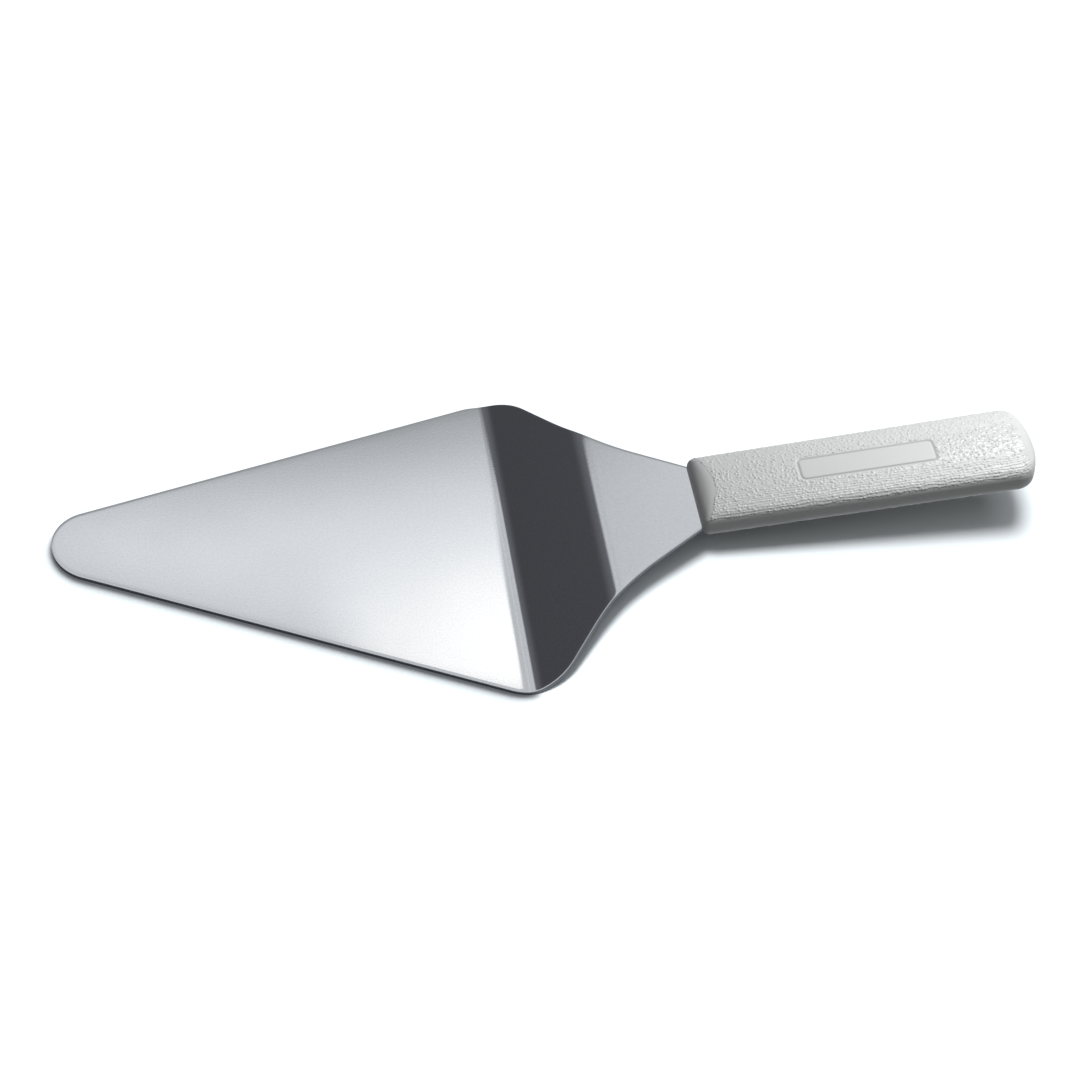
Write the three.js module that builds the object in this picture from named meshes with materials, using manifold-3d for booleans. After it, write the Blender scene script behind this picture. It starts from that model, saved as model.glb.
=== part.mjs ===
// Pizza server: a cranked stainless steel blade whose tang is moulded into a plastic handle.
// Millimetres, +Z up. +X runs from the blade's tip to the handle's butt, and the XZ plane is the
// plane of symmetry. The origin is on the underside of the blade's flat, half way along it.

import * as THREE from 'three';
import { mergeVertices } from 'three/addons/utils/BufferGeometryUtils.js';
import Module from 'manifold-3d';

const manifold = await Module();
manifold.setup();

// Sheet outline, as it is cut: tip, sides, round heels, back edges, hollows and tapered neck
const sheetThickness = 1.6;
const bladeWidth = 127;
const tipRadius = 14.4;
const heelRadius = 21;
const heelBeforeBend = 0.8;
const backEdgeLength = 12.8;
const backEdgeAngle = THREE.MathUtils.degToRad(49.3);
const neckHollowRadius = 111;
const neckTaperLength = 18.5;
const neckTaperAngle = THREE.MathUtils.degToRad(31);

// Bends: each length runs to the corner where the straight runs on both sides would meet
const flatLength = 152.4;
const shoulderLength = 33;
const neckLength = 33.9;
const shoulderSlope = THREE.MathUtils.degToRad(29.2);
const neckSlope = THREE.MathUtils.degToRad(13);
const shoulderBendRadius = 14;
const neckBendRadius = 20;

// Tang: the end of the sheet inside the handle, with holes that lock it there
const tangWidth = 12;
const tangStraightLength = 18;
const lockHoleRadius = 3;
const lockHoleSpacing = 11;

// Handle: moulded round the tang, so its slot and lock posts follow the sheet at one clearance
const handleLength = 118.6;
const handleWidth = 32.3;
const handleNoseWidth = 30.1;
const handleThickness = 12.7;
const sideWallHeight = 2.6;
const sideCornerRadius = 3;
const handleRise = 0.6;
const noseDepth = 10;
const noseOvershoot = 0.4;
const noseCornerRadius = 2.5;
const buttBulge = 5.4;
const buttCornerRadius = 6.4;
const buttRounding = 5.5;
const tangClearance = 0.3;

// A corner arc takes at most this share of the height between the side wall and the crown
const fullestCornerShare = 0.8;

// One overrun for every cut that passes through a surface
const overrun = 1;

// Counts of flats on the curved runs
const tipSteps = 14;
const heelSteps = 14;
const hollowSteps = 10;
const bendSteps = 6;
const tangEndSteps = 8;
const holeSides = 24;
const sectionCurveSteps = 4;
const noseCurveSteps = 10;
const noseCornerSteps = 5;
const buttSteps = 16;

const steel = new THREE.MeshStandardMaterial({ color: 0xc6c9cc, metalness: 1, roughness: 0.38 });
const plastic = new THREE.MeshStandardMaterial({ color: 0xe6e6e2, metalness: 0, roughness: 0.6 });

// Sheet outline as half widths along the sheet: circles, and straight lines that touch them

const halfTangWidth = tangWidth / 2;
const tipCircle = { s: tipRadius, w: 0, radius: tipRadius };
const heelCircle = {
  s: flatLength - heelBeforeBend,
  w: bladeWidth / 2 - heelRadius,
  radius: heelRadius
};

// The line that touches two circles on the side of larger half width
function touchingLine(from, to) {
  const ds = to.s - from.s;
  const dw = to.w - from.w;
  const slope = Math.atan2(dw, ds) - Math.asin((from.radius - to.radius) / Math.hypot(ds, dw));
  return { slope, start: onCircle(from, slope), end: onCircle(to, slope) };
}

// The point of a circle where the outline has the given slope
function onCircle(circle, slope) {
  return {
    s: circle.s - circle.radius * Math.sin(slope),
    w: circle.w + circle.radius * Math.cos(slope)
  };
}

function lineFrom(start, slope, length) {
  const end = { s: start.s + length * Math.cos(slope), w: start.w + length * Math.sin(slope) };
  return { slope, start, end };
}

// A hollow that leaves the end of a line along its slope
function hollowAfter(line, radius) {
  return {
    s: line.end.s - radius * Math.sin(line.slope),
    w: line.end.w + radius * Math.cos(line.slope),
    radius: -radius
  };
}

const sideLine = touchingLine(tipCircle, heelCircle);
const backLine = lineFrom(onCircle(heelCircle, -backEdgeAngle), -backEdgeAngle, backEdgeLength);
const neckHollow = hollowAfter(backLine, neckHollowRadius);
const neckLine = lineFrom(onCircle(neckHollow, -neckTaperAngle), -neckTaperAngle, neckTaperLength);
const tangHollowRadius = (neckLine.end.w - halfTangWidth) / (1 - Math.cos(neckTaperAngle));
const tangHollow = hollowAfter(neckLine, tangHollowRadius);
const tangEndCircle = {
  s: tangHollow.s + tangStraightLength - halfTangWidth,
  w: 0,
  radius: halfTangWidth
};
const sheetEnd = tangEndCircle.s + halfTangWidth;

// A circle with a negative radius is a hollow, which the outline follows on its lower side
function circleHalfWidth(circle, s, growth) {
  const radius = Math.abs(circle.radius + growth);
  const rise = Math.sqrt(Math.max(radius ** 2 - (s - circle.s) ** 2, 0));
  return circle.w + Math.sign(circle.radius) * rise;
}

function lineHalfWidth(line, s, growth) {
  return line.start.w + (s - line.start.s) * Math.tan(line.slope) + growth / Math.cos(line.slope);
}

// Half width of the sheet at s along it, with its outline grown by the given amount
function sheetHalfWidth(s, growth) {
  if (s < sideLine.start.s) return circleHalfWidth(tipCircle, s, growth);
  if (s < sideLine.end.s) return lineHalfWidth(sideLine, s, growth);
  if (s < backLine.start.s) return circleHalfWidth(heelCircle, s, growth);
  if (s < backLine.end.s) return lineHalfWidth(backLine, s, growth);
  if (s < neckLine.start.s) return circleHalfWidth(neckHollow, s, growth);
  if (s < neckLine.end.s) return lineHalfWidth(neckLine, s, growth);
  if (s < tangHollow.s) return circleHalfWidth(tangHollow, s, growth);
  if (s < tangEndCircle.s) return halfTangWidth + growth;
  return circleHalfWidth(tangEndCircle, s, growth);
}

// Places along the sheet that turn evenly round a circle
function arcStations(circle, from, to, steps) {
  const radius = Math.abs(circle.radius);
  const angleAt = (s) => Math.asin(THREE.MathUtils.clamp((s - circle.s) / radius, -1, 1));
  const stations = [];
  for (let i = 0; i <= steps; i += 1) {
    const angle = THREE.MathUtils.lerp(angleAt(from), angleAt(to), i / steps);
    stations.push(circle.s + radius * Math.sin(angle));
  }
  return stations;
}

// Sheet profile: the bent mid-surface as straight runs and arcs

const neckTurn = neckSlope - shoulderSlope;
const shoulderArcRadius = shoulderBendRadius + sheetThickness / 2;
const neckArcRadius = neckBendRadius + sheetThickness / 2;
const shoulderReach = shoulderArcRadius * Math.tan(shoulderSlope / 2);
const neckReach = neckArcRadius * Math.tan(Math.abs(neckTurn) / 2);
const profile = [
  { length: flatLength - shoulderReach, turn: 0 },
  { length: shoulderArcRadius * shoulderSlope, turn: shoulderSlope },
  { length: shoulderLength - shoulderReach - neckReach, turn: 0 },
  { length: neckArcRadius * Math.abs(neckTurn), turn: neckTurn },
  { length: neckLength - neckReach, turn: 0 }
];
const handleStart = profile.reduce((total, run) => total + run.length, 0);

// The point of the bent mid-surface at s along it, and the slope there
function sheetPoint(s) {
  let x = 0;
  let z = 0;
  let slope = 0;
  let left = s;
  profile.forEach((run, i) => {
    const isLast = i === profile.length - 1;
    const length = isLast ? left : Math.min(left, run.length);
    const turn = run.turn * length / run.length;
    const chord = turn === 0 ? length : 2 * length / turn * Math.sin(turn / 2);
    x += chord * Math.cos(slope + turn / 2);
    z += chord * Math.sin(slope + turn / 2);
    slope += turn;
    left -= length;
  });
  return { x, z, slope };
}

// Places along the sheet where its bends start, turn and end
function bendStations() {
  const stations = [];
  let start = 0;
  for (const run of profile) {
    const steps = run.turn === 0 ? 1 : bendSteps;
    for (let i = 0; i <= steps; i += 1) stations.push(start + run.length * i / steps);
    start += run.length;
  }
  return stations;
}

// Solids

// A geometry with shared corners and without the triangles that have closed up
function weld(geometry) {
  const bare = geometry.index ? geometry.toNonIndexed() : geometry.clone();
  bare.deleteAttribute('normal');
  bare.deleteAttribute('uv');
  const merged = mergeVertices(bare);
  const corners = [];
  for (let i = 0; i < merged.index.count; i += 3) {
    const [a, b, c] = [0, 1, 2].map((k) => merged.index.getX(i + k));
    if (a !== b && b !== c && c !== a) corners.push(a, b, c);
  }
  return merged.setIndex(corners);
}

function toSolid(geometry) {
  const welded = weld(geometry);
  return new manifold.Manifold(new manifold.Mesh({
    numProp: 3,
    vertProperties: new Float32Array(welded.attributes.position.array),
    triVerts: new Uint32Array(welded.index.array)
  }));
}

function toGeometry(solid) {
  const mesh = solid.getMesh();
  const geometry = new THREE.BufferGeometry();
  geometry.setAttribute('position', new THREE.BufferAttribute(mesh.vertProperties, 3));
  geometry.setIndex(new THREE.BufferAttribute(mesh.triVerts, 1));
  geometry.computeVertexNormals();
  return geometry;
}

// A closed skin over a row of rings of points, where a ring may close up to a line or a point
function skinRings(rings) {
  const size = rings[0].length;
  const corners = [];
  for (let i = 1; i < rings.length; i += 1) {
    for (let j = 0; j < size; j += 1) {
      const next = (j + 1) % size;
      corners.push(rings[i - 1][j], rings[i - 1][next], rings[i][next]);
      corners.push(rings[i - 1][j], rings[i][next], rings[i][j]);
    }
  }
  const first = rings[0];
  const last = rings[rings.length - 1];
  for (let j = 1; j < size - 1; j += 1) {
    corners.push(first[0], first[j + 1], first[j]);
    corners.push(last[0], last[j], last[j + 1]);
  }
  return new THREE.BufferGeometry().setFromPoints(corners);
}

// Four corners across the sheet: bottom and top at one edge, then top and bottom at the other
function sheetRing(point, halfWidth, halfThickness) {
  const alongX = -halfThickness * Math.sin(point.slope);
  const alongZ = halfThickness * Math.cos(point.slope);
  return [
    new THREE.Vector3(point.x - alongX, -halfWidth, point.z - alongZ),
    new THREE.Vector3(point.x - alongX, halfWidth, point.z - alongZ),
    new THREE.Vector3(point.x + alongX, halfWidth, point.z + alongZ),
    new THREE.Vector3(point.x + alongX, -halfWidth, point.z + alongZ)
  ];
}

// Blade, with its shoulder, neck and tang in one bent sheet

function bladeStations() {
  const stations = [
    ...arcStations(tipCircle, 0, sideLine.start.s, tipSteps),
    ...arcStations(heelCircle, sideLine.end.s, backLine.start.s, heelSteps),
    ...arcStations(neckHollow, backLine.end.s, neckLine.start.s, hollowSteps),
    ...arcStations(tangHollow, neckLine.end.s, tangHollow.s, hollowSteps),
    ...arcStations(tangEndCircle, tangEndCircle.s, sheetEnd, tangEndSteps),
    ...bendStations()
  ];
  return stations.sort((a, b) => a - b);
}

const lockHoleStations = [tangEndCircle.s - lockHoleSpacing, tangEndCircle.s];

// A round bar standing on the tang, in the handle's frame
function tangBar(s, radius, height) {
  const bar = new THREE.CylinderGeometry(radius, radius, height, holeSides);
  bar.rotateX(Math.PI / 2);
  bar.translate(s - handleStart, 0, 0);
  return bar;
}

const handlePoint = sheetPoint(handleStart);
const handlePlace = new THREE.Matrix4()
  .makeRotationY(-neckSlope)
  .setPosition(handlePoint.x, 0, handlePoint.z);

function bladeGeometry() {
  const rings = bladeStations().map((s) => (
    sheetRing(sheetPoint(s), sheetHalfWidth(s, 0), sheetThickness / 2)
  ));
  let blade = toSolid(skinRings(rings));
  for (const s of lockHoleStations) {
    const drill = tangBar(s, lockHoleRadius, sheetThickness + 2 * overrun);
    blade = blade.subtract(toSolid(drill.applyMatrix4(handlePlace)));
  }
  return toGeometry(blade);
}

// Handle, in its own frame: x runs from the nose along the tang's mid-plane, z stands off it

const halfHandleThickness = handleThickness / 2;
const halfHandleWidth = handleWidth / 2;

// Side walls, corner arcs and crowns, all tangent, at full width
function sectionPoints() {
  const wall = sideWallHeight / 2;
  const height = halfHandleThickness - wall;
  const corner = Math.min(sideCornerRadius, height * fullestCornerShare);
  const reach = halfHandleWidth - corner;
  const crown = (reach ** 2 + height ** 2 - corner ** 2) / (2 * (height - corner));
  const crownZ = halfHandleThickness - crown;
  const turn = Math.atan2(wall - crownZ, reach);
  const shape = new THREE.Shape();
  shape.absarc(reach, wall, corner, 0, turn);
  shape.absarc(0, crownZ, crown, turn, Math.PI - turn);
  shape.absarc(-reach, wall, corner, Math.PI - turn, Math.PI);
  shape.absarc(-reach, -wall, corner, Math.PI, Math.PI + turn);
  shape.absarc(0, -crownZ, crown, Math.PI + turn, 2 * Math.PI - turn);
  shape.absarc(reach, -wall, corner, -turn, 0);
  return shape.getPoints(sectionCurveSteps);
}

// The butt in plan is a wide arc with a corner arc at each side
const buttArcRadius = (halfHandleWidth ** 2 + buttBulge ** 2) / (2 * buttBulge);
const buttArcX = handleLength - buttArcRadius;
const buttCornerX = buttArcX + Math.sqrt(
  (buttArcRadius - buttCornerRadius) ** 2 - (halfHandleWidth - buttCornerRadius) ** 2
);
const buttTurn = Math.atan2(halfHandleWidth - buttCornerRadius, buttCornerX - buttArcX);
const buttTouchX = buttArcX + buttArcRadius * Math.cos(buttTurn);

// How far an arc of the given radius lies inside its tangent, at a distance before its end
function arcInset(radius, distance) {
  const reach = radius - THREE.MathUtils.clamp(distance, 0, radius);
  return radius - Math.sqrt(Math.max(radius ** 2 - reach ** 2, 0));
}

function handleHalfWidth(x) {
  if (x > buttTouchX) return Math.sqrt(Math.max(buttArcRadius ** 2 - (x - buttArcX) ** 2, 0));
  const side = THREE.MathUtils.lerp(handleNoseWidth, handleWidth, x / handleLength) / 2;
  const nose = arcInset(noseCornerRadius, x);
  const butt = arcInset(buttCornerRadius, buttCornerX + buttCornerRadius - x);
  return side - nose - butt;
}

function handleHalfHeight(x) {
  const reach = Math.max(x - handleLength + buttRounding, 0) / buttRounding;
  return halfHandleThickness * Math.sqrt(Math.max(1 - reach ** 2, 0));
}

function handleStations() {
  const stations = [];
  for (let i = 0; i <= noseCornerSteps; i += 1) {
    stations.push(noseCornerRadius * (1 - Math.cos(Math.PI / 2 * i / noseCornerSteps)));
  }
  const buttStart = Math.min(buttCornerX, handleLength - buttRounding);
  for (let i = 0; i <= buttSteps; i += 1) {
    const turned = Math.sin(Math.PI / 2 * i / buttSteps);
    stations.push(THREE.MathUtils.lerp(buttStart, handleLength, turned));
  }
  return stations;
}

function handleBody() {
  const section = sectionPoints();
  const rings = handleStations().map((x) => section.map((point) => new THREE.Vector3(
    x,
    point.x * handleHalfWidth(x) / halfHandleWidth,
    handleRise + point.y * handleHalfHeight(x) / halfHandleThickness
  )));
  return toSolid(skinRings(rings));
}

// Side view that rounds the nose as half an ellipse and leaves the rest alone. The ellipse
// overshoots the handle's height, so it meets the crowns at a crisp edge.
function noseProfile() {
  const end = handleLength + overrun;
  const noseHeight = halfHandleThickness + noseOvershoot;
  const high = noseHeight + overrun;
  const shape = new THREE.Shape();
  shape.moveTo(noseDepth, high);
  shape.absellipse(noseDepth, 0, noseDepth, noseHeight, Math.PI / 2, 1.5 * Math.PI);
  shape.lineTo(noseDepth, -high);
  shape.lineTo(end, -high);
  shape.lineTo(end, high);
  const depth = handleWidth + 2 * overrun;
  const geometry = new THREE.ExtrudeGeometry(shape, {
    depth,
    bevelEnabled: false,
    curveSegments: noseCurveSteps
  });
  geometry.rotateX(Math.PI / 2);
  geometry.translate(0, depth / 2, handleRise);
  return toSolid(geometry);
}

// The room round the tang, less the posts that fill its lock holes
function tangRoom() {
  const start = handleStart - overrun;
  const end = sheetEnd + tangClearance;
  const grownEnd = { ...tangEndCircle, radius: tangEndCircle.radius + tangClearance };
  const stations = [
    start,
    ...arcStations(tangHollow, neckLine.end.s, tangHollow.s, hollowSteps).filter((s) => s > start),
    ...arcStations(grownEnd, tangEndCircle.s, end, tangEndSteps)
  ];
  const height = sheetThickness + 2 * tangClearance;
  const rings = stations.map((s) => sheetRing(
    { x: s - handleStart, z: 0, slope: 0 },
    sheetHalfWidth(s, tangClearance),
    height / 2
  ));
  let room = toSolid(skinRings(rings));
  for (const s of lockHoleStations) {
    const post = tangBar(s, lockHoleRadius - tangClearance, height + 2 * overrun);
    room = room.subtract(toSolid(post));
  }
  return room;
}

function handleGeometry() {
  return toGeometry(handleBody().intersect(noseProfile()).subtract(tangRoom()));
}

// Assembly

function namedMesh(name, geometry, material) {
  const mesh = new THREE.Mesh(geometry, material);
  mesh.name = name;
  return mesh;
}

const blade = namedMesh('blade_with_tang', bladeGeometry(), steel);
const handle = namedMesh('moulded_handle', handleGeometry(), plastic);
handle.position.setFromMatrixPosition(handlePlace);
handle.rotation.setFromRotationMatrix(handlePlace);

const pizzaServer = new THREE.Group();
pizzaServer.add(blade, handle);
pizzaServer.position.set(-flatLength / 2, 0, sheetThickness / 2);

export default pizzaServer;
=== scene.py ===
# Pizza server: a satin steel blade with a cranked neck, and a textured plastic handle
import math

import bmesh
import bpy
import numpy as np
from mathutils import Matrix, Vector, noise


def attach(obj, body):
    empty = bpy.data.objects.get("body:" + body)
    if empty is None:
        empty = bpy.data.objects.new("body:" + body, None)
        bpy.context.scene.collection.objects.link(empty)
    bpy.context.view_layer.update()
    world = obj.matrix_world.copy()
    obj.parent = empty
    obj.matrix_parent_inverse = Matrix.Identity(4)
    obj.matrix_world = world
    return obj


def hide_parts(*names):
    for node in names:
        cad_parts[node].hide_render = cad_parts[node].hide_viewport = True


MM = 0.001

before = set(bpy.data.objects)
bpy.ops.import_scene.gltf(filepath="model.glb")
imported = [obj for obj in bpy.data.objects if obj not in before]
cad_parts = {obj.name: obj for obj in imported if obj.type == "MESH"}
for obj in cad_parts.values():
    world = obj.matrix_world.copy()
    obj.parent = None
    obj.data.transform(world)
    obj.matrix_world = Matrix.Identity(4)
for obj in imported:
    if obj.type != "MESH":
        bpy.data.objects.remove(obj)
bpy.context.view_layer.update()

# Sheet outline as it is cut, with the same sizes as the solids
sheet_thickness = 1.6 * MM
blade_width = 127 * MM
tip_radius = 14.4 * MM
heel_radius = 21 * MM
heel_before_bend = 0.8 * MM
back_edge_length = 12.8 * MM
back_edge_angle = math.radians(49.3)
neck_hollow_radius = 111 * MM
neck_taper_length = 18.5 * MM
neck_taper_angle = math.radians(31)

# Bends: each length runs to the corner where the straight runs would meet
flat_length = 152.4 * MM
shoulder_length = 33 * MM
neck_length = 33.9 * MM
shoulder_slope = math.radians(29.2)
neck_slope = math.radians(13)
shoulder_bend_radius = 14 * MM
neck_bend_radius = 20 * MM

# Tang
tang_half_width = 6 * MM
tang_straight_length = 18 * MM

# Edge of the sheet: the face falls away a little, then a small roll, the cut wall and a small break below
edge_fall_width = 1 * MM
edge_fall = 0.03 * MM
edge_roll = 0.15 * MM
edge_break = 0.15 * MM

# Handle, with rounder sides and a softer crest at its nose than the solid's
handle_length = 118.6 * MM
handle_width = 32.7 * MM
handle_nose_width = 30.5 * MM
handle_thickness = 12.7 * MM
side_wall_height = 0.42 * MM
side_corner_radius = 5 * MM
handle_rise = 0.6 * MM
nose_depth = 10 * MM
nose_overshoot = 0.4 * MM
nose_corner_radius = 2.5 * MM
crest_softness = 1.2 * MM
butt_bulge = 5.4 * MM
butt_corner_radius = 6.4 * MM
butt_rounding = 5.5 * MM
tang_clearance = 0.3 * MM

# Moulded texture of the handle: ridges along its sides that break up into pebbles on its top
ridge_pitch = 0.98 * MM
ridge_relief = 0.23 * MM
ridge_tread = 0.6
ridge_calm = 0.3
ridge_zone = (4 * MM, 9 * MM)
pebble_size = 1.05 * MM
pebble_wobble = 1.5
pebble_seed = 3.3
ripple_size = 1.3 * MM
ripple_stretch = 3.5
ripple_wobble = 0.55
ripple_seed = 7.7
dot_size = 0.8 * MM
dot_height = 0.1 * MM
dot_rise = (0.1, 0.6)
dot_seed = 5.5

# Where the texture begins and ends: in height, behind the nose's crest and before the butt
texture_low = 3.1 * MM
texture_full = 3.6 * MM
texture_start = (0.2 * MM, 0.8 * MM)
texture_end = 115 * MM
texture_fade = 1.5 * MM

# Plain panel on the handle's top, framed by a fine groove
panel_middle = 60 * MM
panel_length = 47 * MM
panel_width = 9.2 * MM
panel_corner = 1.6 * MM
panel_groove_width = 0.3 * MM
panel_groove_depth = 0.32 * MM
panel_margin = (2 * panel_groove_width, 3 * panel_groove_width)

# Mesh steps
weld_distance = 0.001 * MM
outline_step = 0.8 * MM
blade_columns = 28
edge_steps = 4
corner_samples = 120
crown_samples = 400
handle_ring_points = 236
handle_step = 0.33 * MM
nose_rows = 16
crest_gap = 0.15 * MM
butt_corner_rows = 14
slot_row_skip = 4
slot_mouth_gap = 0.5 * MM

# How close the handle's points lie round its section, against those of its plain sides
ridge_closeness = 3.4
crown_closeness = 3
underside_closeness = 1.3
ridge_start = 6.5 * MM

# Materials: scales are in features per metre, and most values of a noise lie in its range
noise_range = (0.3, 0.7)

# Satin steel
steel_tints = ((0.625, 0.65, 0.682), (0.666, 0.691, 0.723))
steel_roughness = (0.06, 0.085)
polish_scale = 30
speckle_scale = 1300
speckle_detail = 3
satin_scale = 1900
satin_depth = 0.012 * MM
satin_strength = 0.3
streak_scale = 900
streak_stretch = (0.06, 1, 1)
streak_depth = 0.01 * MM
streak_strength = 0.06

# Cut wall of the sheet: a dull wall whose dark tints are painted shade
cut_wall_shade_tints = ((0.10, 0.105, 0.115), (0.16, 0.165, 0.175))
cut_roughness = (0.4, 0.55)
cut_mark_scale = 2500
cut_mark_stretch = (1, 1, 0.15)
cut_mark_depth = 0.03 * MM
cut_mark_strength = 0.3

# Plastic, smoother where it is textured, with painted shade that darkens the panel's groove
plastic_tints = ((0.72, 0.727, 0.724), (0.75, 0.757, 0.754))
groove_shade_colour = (0.49, 0.494, 0.492)
plastic_roughness = (0.46, 0.52)
texture_polish = 0.17
plastic_specular = 0.32
cloud_scale = 60
mould_grain_scale = 2400
mould_grain_detail = 3
mould_grain_depth = 0.05 * MM
mould_grain_strength = 0.25
bead_scale = 800
bead_smoothness = 0.35
bead_rise = (0.5, 0.93)
bead_depth = 0.2 * MM
bead_strength = 1

# Studio that the steel reflects. Directions are in degrees: along leans from straight up towards the
# handle, and across towards the far side. A pair is where a change begins and where it ends.
room_turn = (-9, -14)
room_levels = (0.72, 0.77)
far_fade = (39.6, 43)
far_level = 0.42
neck_glow_rise = (-9.5, -3)
neck_glow_fall = (-1.5, -2.5)
neck_glow = 0.115

# Lit wall behind the blade, with a slanting lower edge
wall_slant = 0.27
wall_height = 38.75
wall_edge = (-0.1, 1.7)
wall_rise = (-8.8, 0.3)
wall_level = 0.34

# Softbox, which stands on the same edge
softbox_edge = (-0.7, -0.3)
softbox_side = (8.5, 12)
softbox_glow_rise = (8.8, 11.2)
softbox_glow = 0.34
softbox_core_rise = (11.2, 15)
softbox_core = 0.2
softbox_wide = (39.7, 37.8)
softbox_wide_share = 0.62
softbox_narrow = (38, 36.5)
softbox_narrow_share = 0.38
softbox_warmth = 2
softbox_colour = (1.03, 1.0, 0.96)

# Dark card over the shoulder, with a slanting corner
card_corner = (40.2, 41.5)
card_corner_cut = 6
card_upper_side = (-16, -21)
card_lower_side = (-75, -60)
card_near_side = (15, 25)
card_turn = (-43, -20)
card_levels = (0.078, 0.175)
card_colour = (0.97, 0.98, 1.06)

# Soft room light that falls on the plastic, brightest from above the handle's butt
room_lean = (0.7, 0.71)
room_fade = (-0.15, 1)
room_light = 0.35

# Floor: its colour as it is seen, as it bounces light, and a painted shadow where the blade touches it
floor_reach = 3
floor_drop = 0.05 * MM
floor_seen_colour = (0.385, 0.409, 0.423)
floor_bounce_colour = (0.025, 0.025, 0.025)
contact_shadow_colour = (0.043, 0.046, 0.05)
contact_samples = 16
contact_facing = (0.45, 0.85, 0.3)
contact_turn = (60 * MM, 80 * MM)
contact_reach = (13.5 * MM, 3 * MM)
contact_rise = (0.5, 0.9)

# Lamps
floor_sun_direction = (-0.43, -0.42, 1)
handle_lamp_place = (265 * MM, 85 * MM, 290 * MM)

# Camera, from the photograph's perspective: where it looks, from where and how far
camera_azimuth = math.radians(20.406)
camera_elevation = math.radians(48.267)
camera_roll = math.radians(15.18)
camera_distance = 735.3 * MM
camera_target = Vector((88.62 * MM, 2.28 * MM, 0))
focal_pixels = 2124.96
frame_pixels = 1080
sensor_width = 36
clip_start = 10 * MM


def normal_at(slope):
    """Outward normal of an outline that runs at a slope, as (along, across)."""
    return np.array([-math.sin(slope), math.cos(slope)])


def turn(centre, radius, start, end):
    """Outline points and normals round a circle. A negative radius is a hollow."""
    steps = max(2, math.ceil(abs(radius * (end - start)) / outline_step))
    normals = [normal_at(a) for a in np.linspace(start, end, steps + 1)]
    return [(centre + radius * n, n) for n in normals]


def straight(start, slope, length):
    """Outline points and normals along a line."""
    along = np.array([math.cos(slope), math.sin(slope)])
    steps = max(1, math.ceil(length / outline_step))
    return [(start + along * d, normal_at(slope)) for d in np.linspace(0, length, steps + 1)]


def blade_side():
    """The outline's parts from the tip to the end of the back edge."""
    tip = np.array([tip_radius, 0])
    heel = np.array([flat_length - heel_before_bend, blade_width / 2 - heel_radius])
    between = heel - tip
    side_slope = math.atan2(between[1], between[0])
    side_slope -= math.asin((tip_radius - heel_radius) / np.linalg.norm(between))
    parts = [turn(tip, tip_radius, math.pi / 2, side_slope)]
    side_start = parts[0][-1][0]
    side_end = heel + heel_radius * normal_at(side_slope)
    parts.append(straight(side_start, side_slope, np.linalg.norm(side_end - side_start)))
    parts.append(turn(heel, heel_radius, side_slope, -back_edge_angle))
    parts.append(straight(parts[-1][-1][0], -back_edge_angle, back_edge_length))
    return parts


def neck_side(start):
    """The outline's parts from the end of the back edge to the end of the tang."""
    hollow = start + neck_hollow_radius * normal_at(-back_edge_angle)
    parts = [turn(hollow, -neck_hollow_radius, -back_edge_angle, -neck_taper_angle)]
    parts.append(straight(parts[-1][-1][0], -neck_taper_angle, neck_taper_length))
    taper_end = parts[-1][-1][0]
    tang_radius = (taper_end[1] - tang_half_width) / (1 - math.cos(neck_taper_angle))
    hollow = taper_end + tang_radius * normal_at(-neck_taper_angle)
    parts.append(turn(hollow, -tang_radius, -neck_taper_angle, 0))
    parts.append(straight(parts[-1][-1][0], 0, tang_straight_length - tang_half_width))
    end = np.array([parts[-1][-1][0][0], 0])
    parts.append(turn(end, tang_half_width, 0, -math.pi / 2))
    return parts


def half_outline():
    """The sheet's outline on one side, from the tip to the end of the tang."""
    parts = blade_side()
    parts += neck_side(parts[-1][-1][0])
    points = [parts[0][0]]
    for part in parts:
        points += part[1:]
    return np.array([p for p, _ in points]), np.array([n for _, n in points])


# Runs of the bent sheet from the tip, each with its length and the angle that it turns through
neck_turn = neck_slope - shoulder_slope
shoulder_arc = shoulder_bend_radius + sheet_thickness / 2
neck_arc = neck_bend_radius + sheet_thickness / 2
shoulder_reach = shoulder_arc * math.tan(shoulder_slope / 2)
neck_reach = neck_arc * math.tan(-neck_turn / 2)
profile = [
    (flat_length - shoulder_reach, 0),
    (shoulder_arc * shoulder_slope, shoulder_slope),
    (shoulder_length - shoulder_reach - neck_reach, 0),
    (-neck_arc * neck_turn, neck_turn),
    (neck_length - neck_reach, 0),
]
handle_start = sum(length for length, _ in profile)


def sheet_point(s):
    """x, z and slope of the bent mid-surface at s along it."""
    x, z, slope = -flat_length / 2, sheet_thickness / 2, 0
    for i, (length, bend) in enumerate(profile):
        piece = s if i == len(profile) - 1 else min(s, length)
        angle = bend * piece / length
        chord = 2 * piece / angle * math.sin(angle / 2) if angle else piece
        x += chord * math.cos(slope + angle / 2)
        z += chord * math.sin(slope + angle / 2)
        slope += angle
        s -= piece
    return x, z, slope


def on_sheet(s, w, t):
    """The place of a point at s along the sheet, w across it and t above its mid-surface."""
    x, z, slope = sheet_point(s)
    return x - t * math.sin(slope), w, z + t * math.cos(slope)


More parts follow.
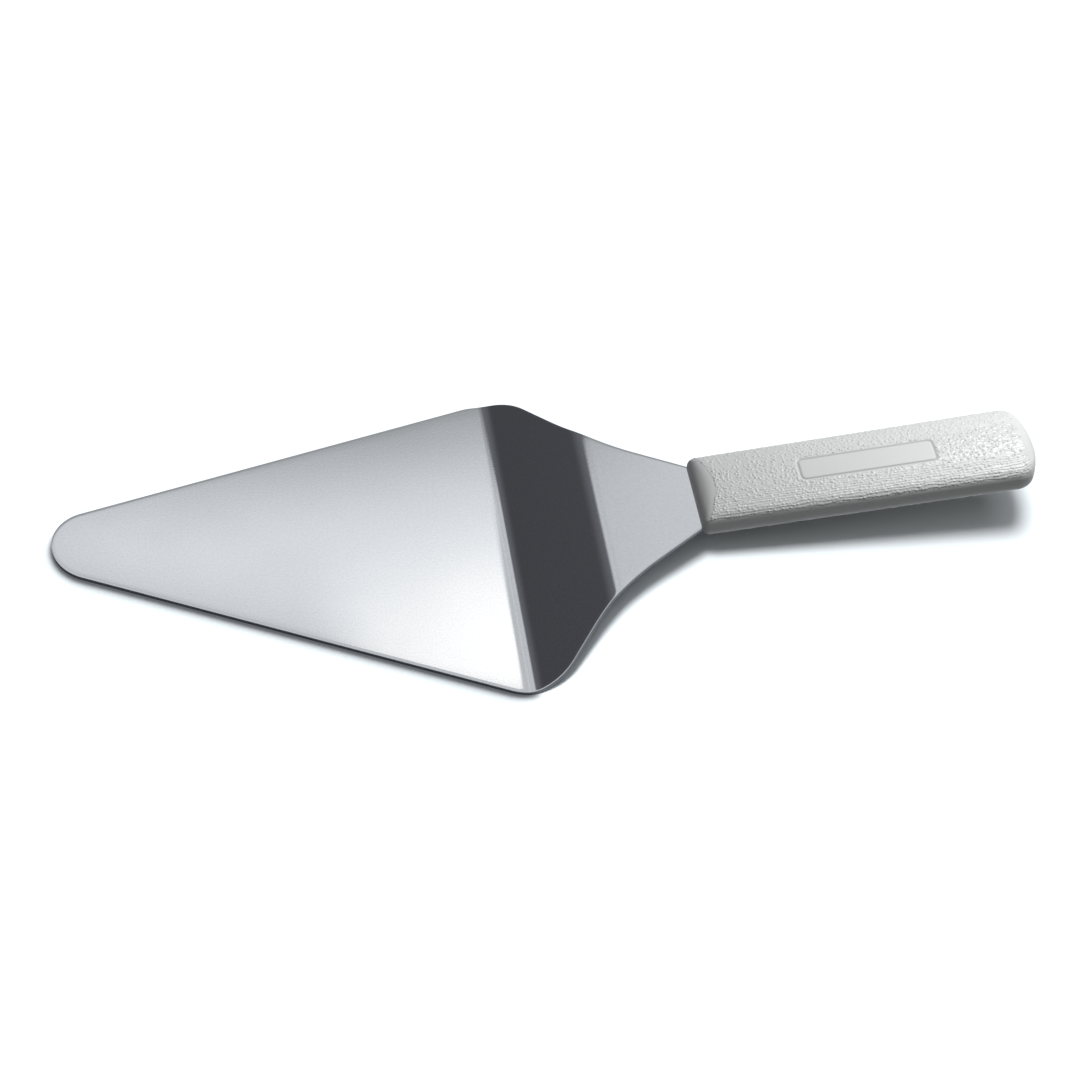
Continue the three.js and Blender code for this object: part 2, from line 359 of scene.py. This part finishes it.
def make_mesh(name, points, faces, materials, finishes=None, fields=None):
    """A smooth-shaded piece, welded where its points meet, with its faces pointing out.

    Finishes says which material each face has, and fields holds named values at each point for the shader.
    """
    mesh = bpy.data.meshes.new(name)
    mesh.from_pydata([tuple(p) for p in points], [], faces)
    for material in materials:
        mesh.materials.append(material)
    if finishes:
        mesh.polygons.foreach_set("material_index", finishes)
    for field, values in (fields or {}).items():
        mesh.attributes.new(field, "FLOAT", "POINT").data.foreach_set("value", values)
    solid = bmesh.new()
    solid.from_mesh(mesh)
    bmesh.ops.remove_doubles(solid, verts=solid.verts, dist=weld_distance)
    bmesh.ops.recalc_face_normals(solid, faces=solid.faces)
    solid.to_mesh(mesh)
    solid.free()
    mesh.shade_smooth()
    piece = bpy.data.objects.new(name, mesh)
    bpy.context.scene.collection.objects.link(piece)
    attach(piece, "root")
    return piece


def ring_faces(rows, columns):
    """Quads between rings of points, where each ring joins its last point to its first."""
    faces = []
    for i in range(rows - 1):
        for j in range(columns):
            k = (j + 1) % columns
            faces.append((i * columns + j, i * columns + k, (i + 1) * columns + k, (i + 1) * columns + j))
    return faces


def edge_profile():
    """Inset and height of the sheet's edge from the top face round to the underside, and where it is cut."""
    half = sheet_thickness / 2
    falls = [i / edge_steps for i in range(edge_steps + 1)]
    turns = [math.pi / 2 * i / edge_steps for i in range(edge_steps + 1)]
    points = [(edge_roll + edge_fall_width * (1 - share), half - edge_fall * share**2) for share in falls]
    rolled = half - edge_fall - edge_roll
    points += [(edge_roll * (1 - math.sin(a)), rolled + edge_roll * math.cos(a)) for a in turns[1:]]
    cut = [i >= len(points) - 1 for i in range(len(points))]
    points += [(edge_break * (1 - math.cos(a)), edge_break * (1 - math.sin(a)) - half) for a in turns]
    points.append((edge_roll + edge_fall_width, -half))
    return points, cut + [True] * len(turns) + [False]


def make_blade():
    """One closed ring of points round the sheet at each place of its outline."""
    outline, normals = half_outline()
    loop, cut = edge_profile()
    across = np.linspace(-1, 1, blade_columns + 1)[1:-1]
    points = []
    for place, normal in zip(outline, normals):
        ring = [(place - normal * inset, height) for inset, height in loop]
        top, bottom = ring[0], ring[-1]
        points += [on_sheet(top[0][0], top[0][1] * u, top[1]) for u in across]
        points += [on_sheet(p[0], max(p[1], 0), height) for p, height in ring]
        points += [on_sheet(bottom[0][0], -bottom[0][1] * u, bottom[1]) for u in across]
        points += [on_sheet(p[0], -max(p[1], 0), height) for p, height in reversed(ring)]
    columns = len(points) // len(outline)
    plain = [False] * len(across)
    cut = plain + cut + plain + cut[::-1]
    finishes = [int(cut[i] and cut[(i + 1) % columns]) for i in range(columns)] * (len(outline) - 1)
    faces = ring_faces(len(outline), columns)
    blade = make_mesh("blade", points, faces, [satin_steel(), cut_steel_with_painted_shade()], finishes)
    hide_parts("blade_with_tang")


def smoothstep(low, high, value):
    """0 below low, 1 above high, and smooth between them."""
    share = np.clip((value - low) / (high - low), 0, 1)
    return share * share * (3 - 2 * share)


half_width = handle_width / 2
half_height = handle_thickness / 2
nose_height = half_height + nose_overshoot
slot_half_height = sheet_thickness / 2 + tang_clearance


def section_quarter():
    """A quarter of the handle's section, from its side to its middle: y, z and the y and z of its normals."""
    wall = side_wall_height / 2
    height = half_height - wall
    reach = half_width - side_corner_radius
    crown = (reach**2 + height**2 - side_corner_radius**2) / (2 * (height - side_corner_radius))
    crown_z = half_height - crown
    corner_end = math.atan2(wall - crown_z, reach)
    corner = np.linspace(0, corner_end, corner_samples)
    top = np.linspace(corner_end, math.pi / 2, crown_samples)[1:]
    y = np.concatenate([[half_width], reach + side_corner_radius * np.cos(corner), crown * np.cos(top)])
    z = np.concatenate([[0], wall + side_corner_radius * np.sin(corner), crown_z + crown * np.sin(top)])
    angle = np.concatenate([[0], corner, top])
    return np.stack([y, z, np.cos(angle), np.sin(angle)])


def closeness_at(y, z):
    """How close the points lie at each place of the section."""
    closeness = np.where(z > texture_low, crown_closeness, 1)
    on_ridges = (z > texture_low) & (np.abs(y) > ridge_start)
    closeness = np.where(on_ridges, ridge_closeness, closeness)
    return np.where(z < -texture_low, underside_closeness, closeness)


def handle_section():
    """Points round the handle's section at full size, closest on the ridges.

    Gives their y and z, the y and z of their normals, and how far round they are from the middle.
    """
    quarter = section_quarter()
    left = quarter[:, ::-1] * np.array([-1, 1, -1, 1])[:, None]
    upper = np.concatenate([quarter, left[:, 1:]], axis=1)
    lower = upper[:, ::-1] * np.array([1, -1, 1, -1])[:, None]
    ring = np.concatenate([upper, lower[:, 1:]], axis=1)
    steps = np.hypot(*np.diff(ring[:2], axis=1))
    length = np.concatenate([[0], np.cumsum(steps)])
    half = length[-1] / 2
    weighed = np.concatenate([[0], np.cumsum(steps * closeness_at(*ring[:2])[1:])])
    stops = np.linspace(0, weighed[-1], handle_ring_points + 1)[:-1]
    y, z, ny, nz, length = [np.interp(stops, weighed, row) for row in (*ring, length)]
    size = np.hypot(ny, nz)
    around = np.abs(length % half - half / 2)
    return y, z, ny / size, nz / size, around


# The butt in plan is a wide arc with a corner arc at each side
butt_arc_radius = (half_width**2 + butt_bulge**2) / (2 * butt_bulge)
butt_arc_x = handle_length - butt_arc_radius
butt_corner_x = butt_arc_x + math.sqrt(
    (butt_arc_radius - butt_corner_radius) ** 2 - (half_width - butt_corner_radius) ** 2
)
butt_turn = math.atan2(half_width - butt_corner_radius, butt_corner_x - butt_arc_x)
butt_touch_x = butt_arc_x + butt_arc_radius * math.cos(butt_turn)


def arc_inset(radius, distance):
    """How far an arc lies inside its tangent, at a distance before its end."""
    reach = radius - np.clip(distance, 0, radius)
    return radius - np.sqrt(np.maximum(radius**2 - reach**2, 0))


def handle_half_width(x):
    """Half the handle's width at x along it: a slight taper with rounded corners at both ends."""
    side = (handle_nose_width + (handle_width - handle_nose_width) * x / handle_length) / 2
    side = side - arc_inset(nose_corner_radius, x)
    side = side - arc_inset(butt_corner_radius, butt_corner_x + butt_corner_radius - x)
    butt = np.sqrt(np.maximum(butt_arc_radius**2 - (x - butt_arc_x) ** 2, 0))
    return np.where(x > butt_touch_x, butt, side)


def handle_half_height(x):
    """Half the handle's height at x along it, where only the butt is rounded."""
    reach = np.maximum(x - handle_length + butt_rounding, 0) / butt_rounding
    return half_height * np.sqrt(np.maximum(1 - reach**2, 0))


def nose_half_height(x):
    """Half the height of the nose's rounding at x along the handle."""
    reach = 1 - np.clip(x / nose_depth, 0, 1)
    return nose_height * np.sqrt(np.maximum(1 - reach**2, 0))


def soft_minimum(first, second):
    """The smaller of two heights, rounded where they cross."""
    near = np.maximum(1 - np.abs(first - second) / crest_softness, 0)
    return np.minimum(first, second) - near * near * crest_softness / 4


def nose_x(z):
    """Where along the handle the nose's rounding reaches a height."""
    return nose_depth * (1 - np.sqrt(1 - (z / nose_height) ** 2))


def panel_distance(x, y):
    """Distance to the outline of the plain panel, negative inside it."""
    along = np.abs(x - panel_middle) - panel_length / 2 + panel_corner
    across = np.abs(y) - panel_width / 2 + panel_corner
    outside = np.hypot(np.maximum(along, 0), np.maximum(across, 0))
    return outside + np.minimum(np.maximum(along, across), 0) - panel_corner


def grain(x, around, y, z, size, seed):
    """Smooth noise over the handle with features of one size, from -1 to 1."""
    across = np.sign(y) * around / size
    side = np.sign(z) * seed
    return np.array([noise.noise(Vector(p)) for p in zip(x / size, across, side)])


def moulded_relief(x, y, z, around, ridges):
    """Height of the ridges, pebbles and dots, as if they covered the whole handle."""
    wobble = pebble_wobble * (1 - ridges) * grain(x, around, y, z, pebble_size, pebble_seed)
    wobble += ripple_wobble * ridges * grain(x / ripple_stretch, around, y, z, ripple_size, ripple_seed)
    phase = around / ridge_pitch + wobble
    share = phase - np.floor(phase)
    relief = ridge_relief * (share - smoothstep(ridge_tread, 1, share))
    return relief + dot_height * smoothstep(*dot_rise, grain(x, around, y, z, dot_size, dot_seed))


def textured_share(x, z, crest, panel):
    """1 where the handle is textured, and 0 on its nose, its sides, its butt and the panel."""
    texture = smoothstep(texture_low, texture_full, np.abs(z))
    texture *= smoothstep(*texture_start, x - crest)
    texture *= 1 - smoothstep(texture_end - texture_fade, texture_end, x)
    return texture * smoothstep(*panel_margin, panel)


def handle_relief(x, y, z, around, crest):
    """Height over the smooth handle, how textured the handle is, and where the panel's groove is, which also
    places the groove's painted shade.
    """
    ridges = smoothstep(*ridge_zone, around)
    panel = np.where(z > 0, panel_distance(x, y), handle_length)
    texture = textured_share(x, z, crest, panel)
    groove_and_shade = np.exp(-((panel / panel_groove_width) ** 2))
    height = moulded_relief(x, y, z, around, ridges) * texture - panel_groove_depth * groove_and_shade
    return height, texture * (1 - ridge_calm * ridges), groove_and_shade


def handle_rows(z):
    """Places along the handle of each row of points, from nose to butt, and those of the nose's crest."""
    mouth = nose_x(np.clip(z, -slot_half_height - handle_rise, slot_half_height - handle_rise))
    crest = np.maximum(nose_x(np.abs(z)), mouth + crest_gap)
    nose = [mouth + (crest - mouth) * math.sin(math.pi / 2 * i / nose_rows) ** 2 for i in range(nose_rows)]
    steps = round(nose_depth / handle_step)
    fore = [crest + (nose_depth - crest) * i / steps for i in range(steps)]
    run = np.arange(nose_depth, butt_corner_x, handle_step)
    turns = np.linspace(0, math.pi / 2 - butt_turn, butt_corner_rows)[:-1]
    corner = butt_corner_x + butt_corner_radius * np.sin(turns)
    butt_steps = round(butt_arc_radius * butt_turn / handle_step)
    butt = butt_arc_x + butt_arc_radius * np.cos(np.linspace(butt_turn, 0, butt_steps))
    return nose + fore + [np.full_like(z, x) for x in np.concatenate([run, corner, butt])], crest


def slot_rings(y, z):
    """Rings of the slot that the tang fills, from its end to the handle's mouth."""
    outline, normals = half_outline()
    grown = (outline + tang_clearance * normals)[::-slot_row_skip]
    rings = []
    for s, w in grown:
        x = s - handle_start
        if x > slot_mouth_gap:
            width = min(max(w, 0), handle_half_width(x) - 2 * tang_clearance)
            height = np.clip(z + handle_rise, -slot_half_height, slot_half_height)
            rings.append(np.stack([np.full_like(z, x), y * width / half_width, height], axis=1))
    return rings


def make_handle():
    """Rings of points from the slot's end, out at the nose and along the handle to its butt."""
    y, z, ny, nz, around = handle_section()
    rows, crest = handle_rows(z)
    rings = slot_rings(y, z)
    textures = [np.zeros_like(z)] * len(rings)
    grooves_and_shade = list(textures)
    for x in rows:
        height = soft_minimum(np.abs(z) * handle_half_height(x) / half_height, nose_half_height(x))
        relief, texture, groove_and_shade = handle_relief(x, y, z, around, crest)
        textures.append(texture)
        grooves_and_shade.append(groove_and_shade)
        across = y * handle_half_width(x) / half_width + ny * relief
        rings.append(np.stack([x, across, handle_rise + np.sign(z) * height + nz * relief], axis=1))
    x, z, slope = sheet_point(handle_start)
    place = np.array(Matrix.Translation((x, 0, z)) @ Matrix.Rotation(-slope, 4, "Y"))
    points = np.concatenate(rings) @ place[:3, :3].T + place[:3, 3]
    faces = ring_faces(len(rings), len(y))
    # The groove field also carries the painted shade in the groove for the shader
    fields = {"texture": np.concatenate(textures), "groove_and_shade": np.concatenate(grooves_and_shade)}
    handle = make_mesh("handle", points, faces, [moulded_plastic()], fields=fields)
    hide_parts("moulded_handle")
    return handle


class Tree:
    """A node tree, with a short call for each kind of node that the materials and the world need."""

    def __init__(self, owner):
        owner.use_nodes = True
        self.nodes = owner.node_tree.nodes
        self.links = owner.node_tree.links

    def plug(self, socket, value):
        """Link a node's output into a socket, or set the socket to a value."""
        if isinstance(value, bpy.types.NodeSocket):
            self.links.new(value, socket)
        else:
            socket.default_value = value

    def math(self, operation, first, second=0):
        node = self.nodes.new("ShaderNodeMath")
        node.operation = operation
        self.plug(node.inputs[0], first)
        self.plug(node.inputs[1], second)
        return node.outputs[0]

    def ease(self, value, start, end, low=0, high=1):
        """A smooth change from low to high as a value goes from start to end."""
        node = self.nodes.new("ShaderNodeMapRange")
        node.interpolation_type = "SMOOTHSTEP"
        inputs = {"Value": value, "From Min": start, "From Max": end, "To Min": low, "To Max": high}
        for name, given in inputs.items():
            self.plug(node.inputs[name], given)
        return node.outputs["Result"]

    def between(self, share, first, second):
        """A number that goes from first to second with a share."""
        node = self.nodes.new("ShaderNodeMix")
        self.plug(node.inputs["Factor"], share)
        self.plug(node.inputs["A"], first)
        self.plug(node.inputs["B"], second)
        return node.outputs["Result"]

    def tint(self, share, first, second):
        """A colour that goes from first to second with a share."""
        node = self.nodes.new("ShaderNodeMix")
        node.data_type = "RGBA"
        self.plug(node.inputs["Factor"], share)
        for name, colour in (("A", first), ("B", second)):
            self.plug(node.inputs[name], colour if isinstance(colour, bpy.types.NodeSocket) else (*colour, 1))
        return node.outputs["Result"]

    def coordinates(self, kind):
        return self.nodes.new("ShaderNodeTexCoord").outputs[kind]

    def split(self, vector):
        """The x, y and z of a vector."""
        node = self.nodes.new("ShaderNodeSeparateXYZ")
        self.links.new(vector, node.inputs["Vector"])
        return node.outputs

    def rays(self):
        return self.nodes.new("ShaderNodeLightPath").outputs

    def noise(self, scale, stretch=(1, 1, 1), detail=2):
        """Noise in the object's own coordinates, drawn out along an axis."""
        mapping = self.nodes.new("ShaderNodeMapping")
        mapping.inputs["Scale"].default_value = stretch
        self.links.new(self.coordinates("Object"), mapping.inputs["Vector"])
        field = self.nodes.new("ShaderNodeTexNoise")
        field.inputs["Scale"].default_value = scale
        field.inputs["Detail"].default_value = detail
        self.links.new(mapping.outputs["Vector"], field.inputs["Vector"])
        return field.outputs["Fac"]

    def beads(self, scale, smoothness):
        """Rounded cells in the object's own coordinates, highest at their middles."""
        field = self.nodes.new("ShaderNodeTexVoronoi")
        field.feature = "SMOOTH_F1"
        field.inputs["Scale"].default_value = scale
        field.inputs["Smoothness"].default_value = smoothness
        self.links.new(self.coordinates("Object"), field.inputs["Vector"])
        return self.math("SUBTRACT", 1, field.outputs["Distance"])

    def attribute(self, name):
        node = self.nodes.new("ShaderNodeAttribute")
        node.attribute_name = name
        return node.outputs["Fac"]

    def bump(self, height, distance, strength, normal=None):
        """The surface's normal with a height on it, and with an earlier bump under that."""
        node = self.nodes.new("ShaderNodeBump")
        node.inputs["Distance"].default_value = distance
        node.inputs["Strength"].default_value = strength
        self.links.new(height, node.inputs["Height"])
        if normal:
            self.links.new(normal, node.inputs["Normal"])
        return node.outputs["Normal"]


def new_material(name):
    """A material with its tree and its shader's sockets."""
    material = bpy.data.materials.new(name)
    tree = Tree(material)
    return material, tree, tree.nodes["Principled BSDF"].inputs


def satin_steel():
    """Rolled stainless steel with a fine satin grain and slow changes of polish."""
    material, tree, shader = new_material("satin_steel")
    slow = tree.noise(polish_scale)
    satin = tree.noise(satin_scale)
    streaks = tree.noise(streak_scale, streak_stretch)
    speckle = tree.ease(tree.noise(speckle_scale, detail=speckle_detail), *noise_range)
    shader["Metallic"].default_value = 1
    tree.plug(shader["Base Color"], tree.tint(speckle, *steel_tints))
    tree.plug(shader["Roughness"], tree.ease(slow, *noise_range, *steel_roughness))
    satin_normal = tree.bump(satin, satin_depth, satin_strength)
    tree.plug(shader["Normal"], tree.bump(streaks, streak_depth, streak_strength, satin_normal))
    return material


def cut_steel_with_painted_shade():
    """The sheared wall of the sheet: dull, painted dark as shade, with fine marks across it."""
    material, tree, shader = new_material("cut_steel_with_painted_shade")
    marks = tree.noise(cut_mark_scale, cut_mark_stretch)
    shader["Metallic"].default_value = 1
    # The wall's very dark base colour is painted shade along the sheet's edge
    tree.plug(shader["Base Color"], tree.tint(marks, *cut_wall_shade_tints))
    tree.plug(shader["Roughness"], tree.ease(marks, *noise_range, *cut_roughness))
    tree.plug(shader["Normal"], tree.bump(marks, cut_mark_depth, cut_mark_strength))
    return material


def moulded_plastic():
    """Milky polypropylene with a fine mould grain over its moulded relief."""
    material, tree, shader = new_material("moulded_plastic")
    clouds = tree.noise(cloud_scale)
    fine = tree.noise(mould_grain_scale, detail=mould_grain_detail)
    milky = tree.tint(clouds, *plastic_tints)
    # The panel's groove is painted darker: painted shade in the recess
    tree.plug(shader["Base Color"], tree.tint(tree.attribute("groove_and_shade"), milky, groove_shade_colour))
    textured = tree.attribute("texture")
    polish = tree.math("MULTIPLY", textured, texture_polish)
    roughness = tree.ease(clouds, *noise_range, *plastic_roughness)
    tree.plug(shader["Roughness"], tree.math("SUBTRACT", roughness, polish))
    shader["Specular IOR Level"].default_value = plastic_specular
    beads = tree.ease(tree.beads(bead_scale, bead_smoothness), *bead_rise)
    beads = tree.math("MULTIPLY", beads, textured)
    fine_normal = tree.bump(fine, mould_grain_depth, mould_grain_strength)
    tree.plug(shader["Normal"], tree.bump(beads, bead_depth, bead_strength, fine_normal))
    return material


def wall_and_softbox(tree, along, across):
    """Levels of the lit wall behind the blade and of the softbox beside it."""
    over_edge = tree.math("ADD", across, tree.math("MULTIPLY", along, wall_slant))
    over_edge = tree.math("SUBTRACT", over_edge, wall_height)
    inside = tree.ease(over_edge, *softbox_edge)
    near_softbox = tree.math("MULTIPLY", tree.ease(along, *softbox_side), inside)
    wall = tree.math("MAXIMUM", tree.ease(over_edge, *wall_edge), near_softbox)
    wall = tree.math("MULTIPLY", wall, tree.ease(along, *wall_rise, 0, wall_level))
    glow = tree.ease(along, *softbox_glow_rise, 0, softbox_glow)
    softbox = tree.math("ADD", glow, tree.ease(along, *softbox_core_rise, 0, softbox_core))
    wide = tree.ease(across, *softbox_wide, 0, softbox_wide_share)
    spread = tree.math("ADD", wide, tree.ease(across, *softbox_narrow, 0, softbox_narrow_share))
    softbox = tree.math("MULTIPLY", softbox, spread)
    return wall, tree.math("MULTIPLY", softbox, inside)


def dark_card(tree, along, across):
    """1 on the dark card over the shoulder, and 0 beside it."""
    card_edge = tree.math("SUBTRACT", along, tree.ease(across, *card_corner, 0, card_corner_cut))
    card = tree.math("MULTIPLY", tree.ease(card_edge, *card_upper_side), tree.ease(along, *card_lower_side))
    return tree.math("MULTIPLY", card, tree.ease(across, *card_near_side))


def metal_view(tree, along, across):
    """What steel reflects: a pale room with a lit wall, a softbox and a dark card."""
    wall, softbox = wall_and_softbox(tree, along, across)
    over_neck = tree.ease(along, *neck_glow_rise, 0, neck_glow)
    over_neck = tree.math("MULTIPLY", over_neck, tree.ease(along, *neck_glow_fall))
    level = tree.math("ADD", wall, tree.ease(along, *room_turn, *room_levels))
    level = tree.math("ADD", level, over_neck)
    level = tree.math("ADD", level, softbox)
    level = tree.math("MULTIPLY", level, tree.ease(across, *far_fade, 1, far_level))
    card = dark_card(tree, along, across)
    return tree.between(card, level, tree.ease(along, *card_turn, *card_levels)), card, softbox


def soft_room(tree, x, z):
    """The light that falls on the plastic, by its direction."""
    lean_x, lean_z = room_lean
    lit = tree.math("ADD", tree.math("MULTIPLY", x, lean_x), tree.math("MULTIPLY", z, lean_z))
    return tree.ease(lit, *room_fade, 0, room_light)


def studio_world():
    """White for the camera, a soft light from above for the plastic, and the studio for the steel."""
    world = bpy.data.worlds.new("studio")
    bpy.context.scene.world = world
    tree = Tree(world)
    x, y, z = tree.split(tree.coordinates("Generated"))
    along = tree.math("DEGREES", tree.math("ARCTAN2", x, z))
    across = tree.math("DEGREES", tree.math("ARCSINE", y))
    metal, card, softbox = metal_view(tree, along, across)
    rays = tree.rays()
    level = tree.between(rays["Is Glossy Ray"], soft_room(tree, x, z), metal)
    seen = tree.math("MAXIMUM", rays["Is Camera Ray"], rays["Is Transmission Ray"])
    level = tree.between(seen, level, 1)
    cool = tree.math("MULTIPLY", card, rays["Is Glossy Ray"])
    warm = tree.math("MULTIPLY", tree.math("MULTIPLY", softbox, softbox_warmth), rays["Is Glossy Ray"])
    colour = tree.tint(cool, (1, 1, 1), card_colour)
    colour = tree.tint(warm, colour, softbox_colour)
    shade = tree.nodes["Background"].inputs
    tree.plug(shade["Strength"], level)
    tree.plug(shade["Color"], colour)


def add_light(name, kind, lit):
    """A lamp that shines on one object alone."""
    lamp = bpy.data.objects.new(name, bpy.data.lights.new(name, kind))
    bpy.context.scene.collection.objects.link(lamp)
    receivers = bpy.data.collections.new(name + "_receivers")
    receivers.objects.link(lit)
    lamp.light_linking.receiver_collection = receivers
    return lamp


def add_sun(name, strength, angle, direction, lit):
    """A distant lamp, where direction points towards it."""
    sun = add_light(name, "SUN", lit)
    sun.data.energy = strength
    sun.data.angle = math.radians(angle)
    sun.rotation_euler = Vector(direction).to_track_quat("Z", "Y").to_euler()


def add_round_lamp(name, power, radius, place, lit):
    """A near lamp, so that its light falls off along what it lights."""
    lamp = add_light(name, "POINT", lit)
    lamp.data.energy = power
    lamp.data.shadow_soft_size = radius
    lamp.location = place


def painted_contact_shadow(tree):
    """Painted contact shadow: 1 on the open floor, and less where the blade rises close by towards the far
    side or the handle.
    """
    contact = tree.nodes.new("ShaderNodeAmbientOcclusion")
    contact.samples = contact_samples
    facing = tree.nodes.new("ShaderNodeCombineXYZ")
    for socket, share in zip(facing.inputs, contact_facing):
        socket.default_value = share
    x = tree.split(tree.coordinates("Object"))["X"]
    tree.plug(contact.inputs["Normal"], facing.outputs["Vector"])
    tree.plug(contact.inputs["Distance"], tree.ease(x, *contact_turn, *contact_reach))
    return tree.ease(contact.outputs["AO"], *contact_rise)


def pale_floor():
    """A matt floor that looks pale, bounces little light back and has a painted shadow where the blade
    touches it.
    """
    material, tree, shader = new_material("floor")
    shader["Roughness"].default_value = 1
    shader["Specular IOR Level"].default_value = 0
    rays = tree.rays()
    seen = tree.math("MAXIMUM", rays["Is Camera Ray"], rays["Is Glossy Ray"])
    seen = tree.math("MAXIMUM", seen, rays["Is Transmission Ray"])
    colour = tree.tint(seen, floor_bounce_colour, floor_seen_colour)
    # The floor's colour is darkened by the painted contact shadow beside the blade
    tree.plug(shader["Base Color"], tree.tint(painted_contact_shadow(tree), contact_shadow_colour, colour))
    return material


def add_floor():
    """The floor that the blade lies on, which keeps its shadow."""
    mesh = bpy.data.meshes.new("floor")
    corners = [(-1, -1), (1, -1), (1, 1), (-1, 1)]
    points = [(x * floor_reach, y * floor_reach, -floor_drop) for x, y in corners]
    mesh.from_pydata(points, [], [(0, 1, 2, 3)])
    mesh.materials.append(pale_floor())
    floor = bpy.data.objects.new("floor", mesh)
    bpy.context.scene.collection.objects.link(floor)
    return floor


def add_camera():
    """The photograph's camera: it looks at the target from its azimuth and elevation, rolled."""
    flat = math.cos(camera_elevation)
    back = Vector((
        -math.sin(camera_azimuth) * flat,
        -math.cos(camera_azimuth) * flat,
        math.sin(camera_elevation),
    ))
    level = Vector((math.cos(camera_azimuth), -math.sin(camera_azimuth), 0))
    upright = back.cross(level)
    right = math.cos(camera_roll) * level + math.sin(camera_roll) * upright
    up = back.cross(right)
    lens = bpy.data.cameras.new("camera")
    lens.sensor_width = sensor_width
    lens.lens = focal_pixels / frame_pixels * sensor_width
    lens.clip_start = clip_start
    camera = bpy.data.objects.new("camera", lens)
    aim = Matrix((right, up, back)).transposed().to_4x4()
    camera.matrix_world = Matrix.Translation(camera_target + camera_distance * back) @ aim
    bpy.context.scene.collection.objects.link(camera)
    bpy.context.scene.camera = camera


make_blade()
handle = make_handle()
floor = add_floor()
add_camera()
studio_world()
add_sun("floor_light", strength=7.2, angle=9, direction=floor_sun_direction, lit=floor)
add_sun("floor_fill", strength=2.6, angle=36, direction=floor_sun_direction, lit=floor)
add_round_lamp("handle_light", power=2.45, radius=14 * MM, place=handle_lamp_place, lit=handle)
bpy.context.scene.view_settings.view_transform = "Standard"
